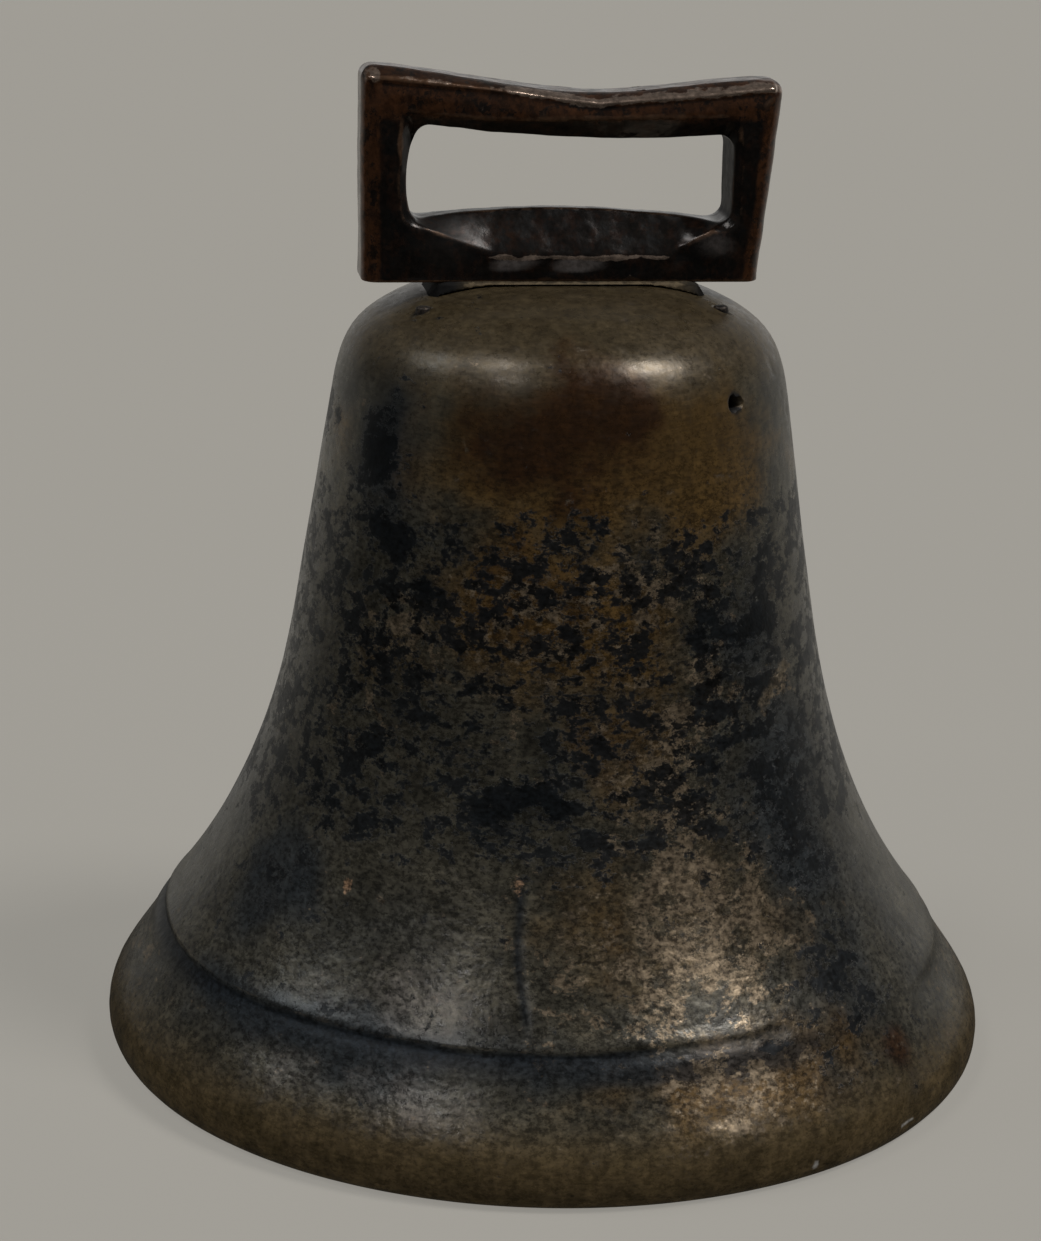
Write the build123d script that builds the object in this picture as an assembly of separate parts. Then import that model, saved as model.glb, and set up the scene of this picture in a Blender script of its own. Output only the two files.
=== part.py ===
"""A cast bronze bell with a rectangular strap loop on its crown and an iron clapper inside.

Frame: millimetres, +Z up, origin at the centre of the mouth, on the plane of the lip.
The loop is wide along X and a strap runs through it along Y. The clapper swings about X.
Each function builds one sub-part, and the end of the file writes one STEP per sub-part.
"""

from build123d import *
import math
import os

# ---- Bell body ----
CROWN_Z = 158.3  # top of the flat on the crown
CROWN_FLAT_RADIUS = 16.0
CROWN_THICKNESS = 6.8
INNER_FLAT_RADIUS = 14.0
WAIST_POINTS = [  # radius and height of the outside, from the crown down to the groove
    (34.3, 153.6),
    (41.0, 148.6),
    (45.7, 134.0),
    (50.7, 102.7),
    (57.0, 71.3),
    (66.2, 47.8),
]
BOW_POINTS = [(87.0, 15.2), (90.6, 7.4), (89.6, 1.6)]  # the sound bow, below the groove
INSIDE_POINTS = [  # the inside, from the lip up to the crown
    (74.6, 15.0),
    (61.4, 40.0),
    (51.6, 71.0),
    (46.7, 95.0),
    (42.4, 126.0),
    (38.4, 141.0),
    (27.5, 149.8),
]
LIP_OUTER_RADIUS = 87.6  # the flat ring that the bell stands on
LIP_INNER_RADIUS = 84.5
GROOVE_UPPER_EDGE = (79.4, 27.4)  # a turned line above the sound bow
GROOVE_ROOT = (79.1, 26.4)
GROOVE_LOWER_EDGE = (80.9, 25.4)
BLOW_HOLE_RADIUS = 1.9
BLOW_HOLE_Z = 140.5
BLOW_HOLE_ANGLE = 40.0  # degrees from the front, which is -Y, towards +X

# ---- Strap loop ----
LOOP_DEPTH = 14.0  # along Y
LOOP_FOOT_Z = 158.6
LOOP_FOOT_LEFT = -40.4
LOOP_FOOT_RIGHT = 38.2
LOOP_TOP_LEFT = (-40.8, 200.4)
LOOP_TOP_RIGHT = (42.0, 198.0)
LOOP_SAG = [(-18.0, 197.5), (4.6, 195.2), (26.0, 196.8)]  # the top edge, worn hollow
OPENING_LEFT = -31.6
OPENING_RIGHT = 32.2
OPENING_FLOOR_Z = 170.0  # at its two ends
OPENING_FLOOR_CREST_Z = 172.5
OPENING_ROOF = [(-29.0, 189.2), (-10.0, 187.3), (6.0, 186.5), (32.2, 187.4)]
LOOP_CORNER_RADIUS = 2.6
LOOP_EDGE_CHAMFER = 1.6
OPENING_FLOOR_TILT = 0.4  # how much the floor's ends lie above (left) and below (right) its height
OPENING_FLOOR_INSET = 1.0  # how far the floor's left end stands in from the post
POST_BULGE = 1.3  # how far the left post's inner face is hollowed, in X
FOOT_RIDGE = [(-15.0, 163.6), (19.0, 163.1)]  # where the foot's slopes meet its upright faces
FOOT_CREST = [(-15.0, 172.4), (19.0, 172.0)]  # where the slopes meet at the top of the foot
FOOT_CREST_HALF_DEPTH = 1.6
FOOT_SLOPE_INSET = 1.5  # from each end of the opening to the end of the slope
FOOT_SLOPE_RISE_LEFT = 1.0  # how far the slope's ends rise above the opening's floor
FOOT_SLOPE_RISE_RIGHT = 0.6
FOOT_SLOPE_OVERHANG = 0.5  # how far the slope is cut on past the loop's front and back

# ---- Fits ----
RUNNING_CLEARANCE = 0.06  # the bush on the crossbar
PRESS_GAP = 0.02  # pieces that are driven or screwed together
PIN_GAP = 0.01  # a core pin in the bronze that was cast round it
BEYOND = 1.0  # how far a cutting shape runs past what it cuts
TOUCHING = 0.01  # closer than this counts as lying on a plane

# ---- Braze round the loop's foot ----
BRAZE_HALF_LENGTH = 26.0
BRAZE_TOP_Z = 159.6
BRAZE_TOP_HALF_DEPTH = LOOP_DEPTH / 2 + 0.3
BRAZE_SLOPE = 50.0  # degrees from upright
BRAZE_DEPTH = 4.0  # from the crown's top down to the lowest the bead may reach
BRAZE_CORNER_RADIUS = 3.0

# ---- Iron core pins that stayed in the crown ----
CHAPLET_RADIUS = 1.5
CHAPLET_CIRCLE_RADIUS = 32.2
CHAPLET_ANGLES = (-65.0, 65.0, 180.0)  # from the front
CHAPLET_BOTTOM_Z = 146.6
CHAPLET_TOP_Z = 155.3
CHAPLET_HEAD_ROUNDING = 0.5
SOCKET_OVERRUN = 5.0  # how far a pin's socket is bored past the pin, through the sloping crown

# ---- Crown staple and what clamps it ----
PIVOT_Z = 125.0  # axis of the crossbar that carries the clapper
STAPLE_BAR_RADIUS = 3.3
STAPLE_HALF_WIDTH = 12.0
STAPLE_ARCH_Z = 140.6
STAPLE_BEND_RADIUS = 5.5
SHANK_RADIUS = 4.0
SHANK_TOP_Z = 165.8
SHANK_END_CHAMFER = 0.6
SHANK_CLEARANCE = 0.3
NUT_WIDTH = 17.0
NUT_BOTTOM_Z = 144.2
NUT_THICKNESS = 4.0
NUT_CORNER_CHAMFER = 1.0
WASHER_RADIUS = 12.8
WASHER_THICKNESS = 1.5
WASHER_EDGE_ROUNDING = 0.4
PACKING_RADIUS = 13.6
PACKING_EDGE_ROUNDING = 0.5

# ---- Clapper ----
BUSH_WALL = 2.0
BUSH_LENGTH = 12.0
BUSH_SLIT = 0.8
EYE_BAR_RADIUS = 3.0
EYE_CLEARANCE = 0.04
SHAFT_TOP_RADIUS = 3.4
SHAFT_NECK_LENGTH = 12.0  # below the eye, before the shaft starts to thicken
SHAFT_BOTTOM_RADIUS = 5.0
SPIGOT_RADIUS = 3.6
BALL_RADIUS = 14.5
BALL_Z = 20.0  # centre of the ball at rest
BALL_TOP_Z = 35.0
BALL_BOTTOM_Z = 6.6
BALL_NECK_RADIUS = 7.0
BALL_NECK_SLOPE = (0.55, -0.84)  # which way the ball's side leaves the neck, out and up
BALL_SHOULDER = (12.0, 29.0)  # radius and height
BALL_LOWER_SIDE = (12.4, 10.6)
BALL_FOOT_RADIUS = 8.0
BALL_FOOT_SLOPE = (-1.0, -0.35)
ROVE_RADIUS = 6.4
ROVE_THICKNESS = 1.4
ROVE_EDGE_ROUNDING = 0.3
PEEN_RADIUS = 5.0
PEEN_TIP_RADIUS = 2.8
PEEN_THICKNESS = 1.8


def turned(edges):
    """The solid swept by a closed outline in the XZ plane turned about Z."""
    return revolve(make_face(Wire(edges)), axis=Axis.Z)


def upright_cylinder(radius, bottom, top, x=0.0, y=0.0):
    """A cylinder along Z between two heights."""
    centred = Cylinder(radius, top - bottom)
    return Pos(x, y, (bottom + top) / 2) * centred


def around(radius, degrees_from_front):
    """X and Y of a point on a circle, at an angle from the front, which is -Y, towards +X."""
    angle = math.radians(degrees_from_front)
    return radius * math.sin(angle), -radius * math.cos(angle)


def in_section(point):
    """A point of an XZ outline, from its X (or radius) and its height."""
    return Vector(point[0], 0, point[1])


def curve_through(*points):
    """A smooth curve in the XZ plane through the given points."""
    return Spline(*[in_section(point) for point in points])


def straight(start, end):
    """A straight edge in the XZ plane."""
    return Line(in_section(start), in_section(end))


def bell_profile():
    """The edges of half the bell's section, with X as the radius."""
    crown_inner_z = CROWN_Z - CROWN_THICKNESS
    crown_edge = (CROWN_FLAT_RADIUS, CROWN_Z)
    inner_edge = (INNER_FLAT_RADIUS, crown_inner_z)
    lip_outer = (LIP_OUTER_RADIUS, 0)
    lip_inner = (LIP_INNER_RADIUS, 0)
    return [
        straight((0, CROWN_Z), crown_edge),
        curve_through(crown_edge, *WAIST_POINTS, GROOVE_UPPER_EDGE),
        straight(GROOVE_UPPER_EDGE, GROOVE_ROOT),
        straight(GROOVE_ROOT, GROOVE_LOWER_EDGE),
        curve_through(GROOVE_LOWER_EDGE, *BOW_POINTS, lip_outer),
        straight(lip_outer, lip_inner),
        curve_through(lip_inner, *INSIDE_POINTS, inner_edge),
        straight(inner_edge, (0, crown_inner_z)),
        straight((0, crown_inner_z), (0, CROWN_Z)),
    ]


def bell_body():
    """The bronze casting, bored for the shank, with its core-pin sockets and one open blow hole."""
    body = turned(bell_profile())
    inside_z = CROWN_Z - CROWN_THICKNESS - BEYOND
    body -= upright_cylinder(SHANK_RADIUS + SHANK_CLEARANCE, inside_z, CROWN_Z + BEYOND)
    socket_bottom = CHAPLET_BOTTOM_Z - SOCKET_OVERRUN
    socket_top = CHAPLET_TOP_Z + SOCKET_OVERRUN
    for angle in CHAPLET_ANGLES:
        x, y = around(CHAPLET_CIRCLE_RADIUS, angle)
        body -= upright_cylinder(CHAPLET_RADIUS, socket_bottom, socket_top, x, y)
    inside_radius = 30.0
    outside_radius = 55.0
    x, y = around(1.0, BLOW_HOLE_ANGLE)
    start = Plane(origin=(inside_radius * x, inside_radius * y, BLOW_HOLE_Z), z_dir=(x, y, 0))
    body -= extrude(start * Circle(BLOW_HOLE_RADIUS), amount=outside_radius - inside_radius)
    return body


def loop_outside():
    """The face of the whole loop seen from the front."""
    foot_left = (LOOP_FOOT_LEFT, LOOP_FOOT_Z)
    foot_right = (LOOP_FOOT_RIGHT, LOOP_FOOT_Z)
    edges = [
        straight(foot_left, foot_right),
        straight(foot_right, LOOP_TOP_RIGHT),
        curve_through(LOOP_TOP_RIGHT, *reversed(LOOP_SAG), LOOP_TOP_LEFT),
        straight(LOOP_TOP_LEFT, foot_left),
    ]
    return make_face(Wire(edges))


def loop_opening():
    """The face of the opening that the strap goes through."""
    floor_left = in_section((OPENING_LEFT + OPENING_FLOOR_INSET, OPENING_FLOOR_Z + OPENING_FLOOR_TILT))
    floor_right = in_section((OPENING_RIGHT, OPENING_FLOOR_Z - OPENING_FLOOR_TILT))
    floor_crest = in_section((0, OPENING_FLOOR_CREST_Z))
    roof_left = in_section(OPENING_ROOF[0])
    roof_right = in_section(OPENING_ROOF[-1])
    post_middle_z = (OPENING_FLOOR_Z + roof_left.Z) / 2
    post_hollow = in_section((floor_left.X - POST_BULGE, post_middle_z))
    edges = [
        ThreePointArc(floor_left, floor_crest, floor_right),
        Line(floor_right, roof_right),
        curve_through(*reversed(OPENING_ROOF)),
        ThreePointArc(roof_left, post_hollow, floor_left),
    ]
    return make_face(Wire(edges))


def foot_slope(side):
    """The wedge that slopes one side of the foot; side is -1 at the front and 1 at the back."""
    outer_y = side * (LOOP_DEPTH / 2 + FOOT_SLOPE_OVERHANG)
    crest_y = side * FOOT_CREST_HALF_DEPTH
    above = OPENING_FLOOR_CREST_Z + BEYOND
    left = OPENING_LEFT + FOOT_SLOPE_INSET
    right = OPENING_RIGHT - FOOT_SLOPE_INSET
    ridge = [
        (right, OPENING_FLOOR_Z),
        *reversed(FOOT_RIDGE),
        (left, OPENING_FLOOR_Z),
    ]
    crest = [
        (right, OPENING_FLOOR_Z + FOOT_SLOPE_RISE_RIGHT),
        *reversed(FOOT_CREST),
        (left, OPENING_FLOOR_Z + FOOT_SLOPE_RISE_LEFT),
    ]
    faces = []
    for y, edge in ((outer_y, ridge), (crest_y, crest)):
        corners = [(left, y, above), (right, y, above)] + [(x, y, z) for x, z in edge]
        faces.append(make_face(Polyline(*corners, close=True)))
    return loft(faces, ruled=True)


def cross_edges(shape, bottom, top=math.inf, left=-math.inf, right=math.inf):
    """The edges along Y whose middles lie between two heights and two X positions."""
    found = []
    for edge in shape.edges().filter_by(Axis.Y):
        middle = edge.center()
        if left < middle.X < right and bottom < middle.Z < top:
            found.append(edge)
    return found


def strap_loop():
    """The bronze loop, bored from below for the staple's shank."""
    half = LOOP_DEPTH / 2
    roof_z = OPENING_ROOF[0][1]
    opening = extrude(loop_opening(), amount=half + BEYOND, dir=(0, 1, 0), both=True)
    loop = extrude(loop_outside(), amount=half, dir=(0, 1, 0), both=True)
    loop = fillet(cross_edges(loop, OPENING_FLOOR_Z), LOOP_CORNER_RADIUS)
    loop -= opening
    left = OPENING_LEFT - BEYOND
    right = OPENING_RIGHT + BEYOND
    corners = cross_edges(loop, LOOP_FOOT_Z, roof_z + BEYOND, left, right)
    loop = fillet(corners, LOOP_CORNER_RADIUS)
    rims = []
    for edge in loop.edges():
        middle = edge.center()
        if abs(abs(middle.Y) - half) < TOUCHING and middle.Z > LOOP_FOOT_Z + BEYOND:
            rims.append(edge)
    loop = chamfer(rims, LOOP_EDGE_CHAMFER)
    loop = loop - foot_slope(-1) - foot_slope(1)
    bore_top = SHANK_TOP_Z + SHANK_CLEARANCE
    return loop - upright_cylinder(SHANK_RADIUS + PRESS_GAP, LOOP_FOOT_Z - BEYOND, bore_top)


def braze_fillet(body, loop):
    """The bead of braze that beds the loop's foot on the domed crown."""
    bottom = CROWN_Z - BRAZE_DEPTH
    height = BRAZE_TOP_Z - bottom
    top = Plane.XY.offset(BRAZE_TOP_Z) * RectangleRounded(
        2 * BRAZE_HALF_LENGTH, 2 * BRAZE_TOP_HALF_DEPTH, BRAZE_CORNER_RADIUS
    )
    bead = extrude(top, amount=-height, taper=-BRAZE_SLOPE)
    bead = bead - body - loop
    bead -= upright_cylinder(SHANK_RADIUS + SHANK_CLEARANCE, bottom - BEYOND, BRAZE_TOP_Z + BEYOND)
    return max(bead.solids(), key=lambda solid: solid.volume)


def core_chaplets():
    """Three iron pins that held the casting core, each with a rounded head."""
    pins = []
    for angle in CHAPLET_ANGLES:
        x, y = around(CHAPLET_CIRCLE_RADIUS, angle)
        pin = upright_cylinder(CHAPLET_RADIUS - PIN_GAP, CHAPLET_BOTTOM_Z, CHAPLET_TOP_Z, x, y)
        top_rim = pin.edges().sort_by(Axis.Z)[-1]
        pins.append(fillet(top_rim, CHAPLET_HEAD_ROUNDING))
    return Compound(children=pins)


def crown_staple():
    """The forged iron stirrup and its shank, which passes up through the crown into the loop."""
    ring = RectangleRounded(2 * STAPLE_HALF_WIDTH, STAPLE_ARCH_Z - PIVOT_Z, STAPLE_BEND_RADIUS)
    middle = Plane(origin=(0, 0, (PIVOT_Z + STAPLE_ARCH_Z) / 2), x_dir=(1, 0, 0), z_dir=(0, -1, 0))
    path = (middle * ring).wire()
    section = Plane(origin=path @ 0, z_dir=path % 0) * Circle(STAPLE_BAR_RADIUS)
    stirrup = sweep(section, path=path)
    shank = upright_cylinder(SHANK_RADIUS, STAPLE_ARCH_Z, SHANK_TOP_Z)
    shank = chamfer(shank.edges().sort_by(Axis.Z)[-1], SHANK_END_CHAMFER)
    return stirrup + shank


def staple_nut():
    """The square nut under the washer."""
    nut = Pos(0, 0, NUT_BOTTOM_Z + NUT_THICKNESS / 2) * Box(NUT_WIDTH, NUT_WIDTH, NUT_THICKNESS)
    nut = chamfer(nut.edges().filter_by(Axis.Z), NUT_CORNER_CHAMFER)
    nut_top = NUT_BOTTOM_Z + NUT_THICKNESS
    return nut - upright_cylinder(SHANK_RADIUS + PRESS_GAP, NUT_BOTTOM_Z - BEYOND, nut_top + BEYOND)


def ring_disc(outer_radius, inner_radius, bottom, top, edge):
    """A flat ring along Z with its outer edges eased."""
    disc = upright_cylinder(outer_radius, bottom, top)
    disc = fillet(disc.edges().filter_by(GeomType.CIRCLE), edge)
    return disc - upright_cylinder(inner_radius, bottom - BEYOND, top + BEYOND)


def crown_washer():
    """The iron washer between the nut and the leather."""
    bottom = NUT_BOTTOM_Z + NUT_THICKNESS
    top = bottom + WASHER_THICKNESS
    return ring_disc(WASHER_RADIUS, SHANK_RADIUS + SHANK_CLEARANCE, bottom, top, WASHER_EDGE_ROUNDING)


def packing_disc():
    """The leather disc that keeps iron off bronze."""
    bottom = NUT_BOTTOM_Z + NUT_THICKNESS + WASHER_THICKNESS
    top = CROWN_Z - CROWN_THICKNESS
    return ring_disc(PACKING_RADIUS, SHANK_RADIUS + SHANK_CLEARANCE, bottom, top, PACKING_EDGE_ROUNDING)


def bush_outer_radius():
    """Outer radius of the leather bush on the staple's crossbar."""
    return STAPLE_BAR_RADIUS + RUNNING_CLEARANCE + BUSH_WALL


def staple_bush():
    """A strip of leather rolled round the crossbar, with its slit at the bottom."""
    along_x = Plane(origin=(-BUSH_LENGTH / 2, 0, PIVOT_Z), z_dir=(1, 0, 0))
    tube = extrude(along_x * Circle(bush_outer_radius()), amount=BUSH_LENGTH)
    tube -= extrude(along_x * Circle(STAPLE_BAR_RADIUS + RUNNING_CLEARANCE), amount=BUSH_LENGTH)
    slit = Box(BUSH_LENGTH + 2 * BEYOND, BUSH_SLIT, 2 * (BUSH_WALL + BEYOND))
    return tube - Pos(0, 0, PIVOT_Z - bush_outer_radius()) * slit


def clapper_shaft():
    """The forged shaft: an eye at the top, a shoulder for the ball, and a peened end."""
    eye_radius = bush_outer_radius() + EYE_CLEARANCE + EYE_BAR_RADIUS
    eye = Plane(origin=(0, 0, PIVOT_Z), z_dir=(1, 0, 0)) * Torus(eye_radius, EYE_BAR_RADIUS)
    shaft_top = PIVOT_Z - eye_radius
    rove_bottom = BALL_BOTTOM_Z - ROVE_THICKNESS
    tip = rove_bottom - PEEN_THICKNESS
    taper = turned(
        Polyline(
            (0, 0, shaft_top),
            (SHAFT_TOP_RADIUS, 0, shaft_top),
            (SHAFT_TOP_RADIUS, 0, shaft_top - SHAFT_NECK_LENGTH),
            (SHAFT_BOTTOM_RADIUS, 0, BALL_TOP_Z),
            (SPIGOT_RADIUS, 0, BALL_TOP_Z),
            (SPIGOT_RADIUS, 0, rove_bottom),
            (PEEN_RADIUS, 0, rove_bottom),
            (PEEN_TIP_RADIUS, 0, tip),
            (0, 0, tip),
            close=True,
        ).edges()
    )
    return eye + taper


def clapper_ball():
    """The pear-shaped iron striker, bored for the shaft's spigot."""
    neck = in_section((BALL_NECK_RADIUS, BALL_TOP_Z))
    widest = in_section((BALL_RADIUS, BALL_Z))
    foot = in_section((BALL_FOOT_RADIUS, BALL_BOTTOM_Z))
    side = Spline(
        neck,
        in_section(BALL_SHOULDER),
        widest,
        in_section(BALL_LOWER_SIDE),
        foot,
        tangents=[in_section(BALL_NECK_SLOPE), in_section(BALL_FOOT_SLOPE)],
    )
    rest = Polyline(foot, (0, 0, BALL_BOTTOM_Z), (0, 0, BALL_TOP_Z), neck)
    ball = turned([side, *rest.edges()])
    return ball - upright_cylinder(SPIGOT_RADIUS + PRESS_GAP, BALL_BOTTOM_Z - BEYOND, BALL_TOP_Z + BEYOND)


def clapper_rove():
    """The small washer that the shaft is peened over."""
    bottom = BALL_BOTTOM_Z - ROVE_THICKNESS
    return ring_disc(ROVE_RADIUS, SPIGOT_RADIUS + PRESS_GAP, bottom, BALL_BOTTOM_Z, ROVE_EDGE_ROUNDING)


body = bell_body()
loop = strap_loop()
parts = {
    "bell_body": body,
    "strap_loop": loop,
    "braze_fillet": braze_fillet(body, loop),
    "core_chaplets": core_chaplets(),
    "crown_staple": crown_staple(),
    "staple_nut": staple_nut(),
    "crown_washer": crown_washer(),
    "packing_disc": packing_disc(),
    "staple_bush": staple_bush(),
    "clapper_shaft": clapper_shaft(),
    "clapper_ball": clapper_ball(),
    "clapper_rove": clapper_rove(),
}
os.makedirs("parts", exist_ok=True)
for name, shape in parts.items():
    export_step(shape, f"parts/{name}.step")
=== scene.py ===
import math

import bmesh
import bpy
import numpy as np
from mathutils import Matrix, Vector, noise
from mathutils.bvhtree import BVHTree


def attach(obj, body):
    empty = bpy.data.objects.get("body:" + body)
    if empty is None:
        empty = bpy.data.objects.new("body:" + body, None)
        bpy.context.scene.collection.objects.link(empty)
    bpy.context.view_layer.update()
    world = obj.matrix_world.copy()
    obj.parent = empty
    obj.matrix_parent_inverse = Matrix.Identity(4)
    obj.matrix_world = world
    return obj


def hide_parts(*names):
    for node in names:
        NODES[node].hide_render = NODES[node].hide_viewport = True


# Looks for a cast bronze bell, in the part's own frame, with Z up and -Y at the front. Lengths are in metres,
# or in millimetres where a comment says so. Azimuths are in degrees round Z, from the front towards +X.

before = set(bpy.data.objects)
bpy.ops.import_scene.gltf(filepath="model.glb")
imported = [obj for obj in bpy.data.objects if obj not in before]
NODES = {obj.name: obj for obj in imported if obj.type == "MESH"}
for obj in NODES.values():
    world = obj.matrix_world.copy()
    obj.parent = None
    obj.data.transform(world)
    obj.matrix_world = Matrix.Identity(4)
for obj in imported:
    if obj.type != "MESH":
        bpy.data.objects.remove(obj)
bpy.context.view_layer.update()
MM = 0.001

# ---- Camera ----
CAMERA_AZIMUTH = -9.0
CAMERA_DISTANCE = 0.6249  # level distance from the bell's axis
CAMERA_HEIGHT = 0.2742
CAMERA_PITCH = 16.64  # degrees down
CAMERA_AIM_LEFT = 0.61
CAMERA_ROLL = 1.45
CAMERA_LENS = 92.83  # millimetres, like the sensor
CAMERA_SENSOR = 36.0
CAMERA_SIGHT = 50.0  # how far it sees

# ---- Bell skin ----
BELL_COLUMNS = 478
FRONT_CROWDING = 0.45  # how much closer the columns stand at the front than on average
OUTSIDE_EYE_Z = 60 * MM  # rays towards these two points on the axis meet the section once
INSIDE_EYE_Z = 40 * MM
OUTSIDE_RAYS = (87.4, -35.1, 1600)  # first and last angle above level, and how many
INSIDE_RAYS = (-25.3, 87.7, 1200)
RAY_LENGTH = 0.3
CLEAR_AZIMUTHS = (-150, -120, -95, 95, 120, 150)  # no hole or pin near
CAD_GROOVE_TOP_Z = 27.6 * MM  # the turned groove in the CAD section, which the skin cuts anew
CAD_GROOVE_BOTTOM_Z = 25.2 * MM
SECTION_STEP = 0.1 * MM
CORNER_WEAR = 0.55 * MM  # how far the section's corners are rounded
LIP_LOWEST_RADIUS = 86 * MM  # the flat of the lip lies outside this
RING_SPACING_OUTSIDE = 1.75 * MM
RING_SPACING_INSIDE = 3.4 * MM
FINE_RINGS = [  # lowest and highest height, spacing, whether on the outside only
    (20.0 * MM, 30.0 * MM, 0.55 * MM, True),  # the groove
    (-1.0 * MM, 4.0 * MM, 0.7 * MM, False),  # the lip
    (137.5 * MM, 143.5 * MM, 0.7 * MM, True),  # the open hole
]
BORE_EDGE = (5 * MM, 8 * MM)  # the relief fades out between these radii, so that the shank still fits
LIP_EDGE = 1.5 * MM  # and below this height, so that the bell still stands flat

# ---- Marks on the bell ----
GROOVE_EDGE_Z = 27.3  # millimetres, like every number of the groove
GROOVE_DEPTH = 0.55
GROOVE_LIFTED_EDGE = 0.08
GROOVE_CURL = 1.0  # how far its right end turns up
GOUGE_AZIMUTH = -13.2
GOUGE_BEND = 2.2  # degrees that its lower end leans to the right
GOUGE_DEPTH = 0.26 * MM
CROWN_STEP_RADIUS = 27.6 * MM  # inside it the crown was faced a little lower
CROWN_STEP_DEPTH = 0.28 * MM
HOLE_AZIMUTH = 39.7
HOLE_Z = 140.5 * MM
HOLE_RADIUS = 1.80  # millimetres
HOLE_WIDENING = 1.12  # how much wider it is on the inside
WALL = (30 * MM, 55 * MM)  # radii between which the hole is cut

# ---- Strap loop, in millimetres ----
LOOP_HALF_DEPTH = 7.0
OUTER_ROUNDING = 4.2  # how far in the loop's outer edges are rounded
TOP_ROUNDING = 5.0
LOOP_BOTTOM_Z = 158.6
LOOP_TOP_Z = 200.2
LOOP_LEFT = -40.8
LOOP_RIGHT = 41.8
TOP_RIDGE_X = (-36, -17, 5, 26, 39)
TOP_RIDGE_Z = (198.2, 196.3, 193.6, 195.3, 196.6)
OUTLINE_MARKS = 60  # heights or places across at which its outline is measured
UNDERSIDE_RIDGE_Z = 190.4  # where the planed underside of the top bar starts
FOOT_LINE_Z = 163.6  # where the foot's slope meets its upright face

# ---- Wear ----
WEAR_ROUNDS = 12  # how far round itself a vertex is compared
LOOP_WEAR_REACH = 0.16 * MM  # how proud of its surroundings metal stands where it is fully worn
SMALL_WEAR_REACH = 0.08 * MM
PIVOT = (0, 0, 0.125)  # of the clapper

# ---- Stage ----
FLOOR_RADIUS = 6.0
FLOOR_COLOUR = (0.125, 0.120, 0.109)
FLOOR_GLOW = 0.735  # lit from within as a share of the backdrop colour, which keeps the shadows faint
BACKDROP_COLOUR = (0.352, 0.337, 0.305)
ROOM_COLOUR = (1.0, 0.985, 0.955)
BRIGHT_SIDE = (0.25, 0.90, -0.60)  # the room is brightest low down behind the bell and to its right
ROOM_RISE = (0.30, 0.95, 0.09, 0.54)  # how its light rises towards that side, as for Finish.rise
FLOOR_RISE = (0.0, 0.28, 0.08, 0.90)  # and how bright reflections find the floor
LAMPS = [  # name, direction from the bell, strength, width of the soft disc in degrees, colour
    ("lamp_right", (0.525, -0.270, 0.807), 1.75, 17.0, (1.0, 0.97, 0.94)),
    ("lamp_left", (-0.420, -0.200, 0.885), 0.46, 16.0, (1.0, 0.98, 0.96)),
    ("lamp_side", (-0.720, 0.080, 0.690), 0.32, 20.0, (0.92, 0.97, 1.0)),
]
LOW_LAMPS = [  # name, direction from the bell's lip, irradiance there, width of the disc in degrees, colour
    ("lamp_right_low", (0.620, -0.550, 0.560), 0.80, 24.0, (1.0, 0.98, 0.96)),
    ("lamp_left_low", (-0.470, -0.530, 0.706), 0.68, 14.0, (1.0, 0.98, 0.98)),
]
LOW_LAMP_DISTANCE = 1.2
LOW_LAMP_BEAM = 10.5  # degrees across, which keeps it off the shoulder
LOW_LAMP_TARGET = Vector((0, 0, 0.020))


# ---- Numbers ----


def smooth(value, low, high):
    """0 below low, 1 above high and a smooth rise between. low may be above high."""
    t = np.clip((value - low) / (high - low), 0, 1)
    return t * t * (3 - 2 * t)


def bump_at(distance, width):
    """1 at distance 0, falling smoothly to nothing by about twice the width."""
    return np.exp(-((distance / width) ** 2))


def rough(points, size, octaves=3, seed=0):
    """Fractal noise, about -1 to 1, at each point, with features about size across."""
    shift = Vector((7.31, 1.93, 4.77)) * seed
    return np.array([noise.fractal(Vector(p) / size + shift, 1.0, 2.0, octaves) for p in points.tolist()])


# ---- Meshes ----


def added(name, data):
    """A new object in the scene, of a mesh, a light or a camera."""
    made = bpy.data.objects.new(name, data)
    bpy.context.scene.collection.objects.link(made)
    return made


def mesh_object(name, points, faces):
    """A smooth-shaded object from an array of points and a list of faces."""
    mesh = bpy.data.meshes.new(name)
    mesh.from_pydata(points.tolist(), [], faces)
    mesh.shade_smooth()
    mesh.update()
    return added(name, mesh)


def vectors(items, name):
    """One vector of each of a mesh's items, as an array."""
    flat = np.zeros(len(items) * 3, np.float32)
    items.foreach_get(name, flat)
    return flat.reshape(-1, 3).astype(float)


def points_of(obj):
    return vectors(obj.data.vertices, "co")


def normals_of(obj):
    return vectors(obj.data.vertex_normals, "vector")


def set_points(obj, points):
    """Moves an object's vertices."""
    obj.data.vertices.foreach_set("co", points.astype(np.float32).ravel())
    obj.data.update()


def paint(obj, name, values):
    """Stores a number from 0 to 1 on each vertex, for the materials to read."""
    layer = obj.data.attributes.new(name, "FLOAT", "POINT")
    layer.data.foreach_set("value", np.clip(values, 0, 1).astype(np.float32))


def applied(obj):
    """Applies an object's modifiers."""
    graph = bpy.context.evaluated_depsgraph_get()
    mesh = bpy.data.meshes.new_from_object(obj.evaluated_get(graph), depsgraph=graph)
    obj.modifiers.clear()
    obj.data = mesh
    mesh.shade_smooth()
    return obj


def closed_copy(node, name):
    """A copy of a CAD node whose split corners are joined, so that it is one closed skin."""
    mesh = bpy.data.meshes.new(name)
    work = bmesh.new()
    work.from_mesh(NODES[node].data)
    bmesh.ops.remove_doubles(work, verts=work.verts, dist=0.002 * MM)
    work.to_mesh(mesh)
    work.free()
    mesh.materials.clear()
    return added(name, mesh)


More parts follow.
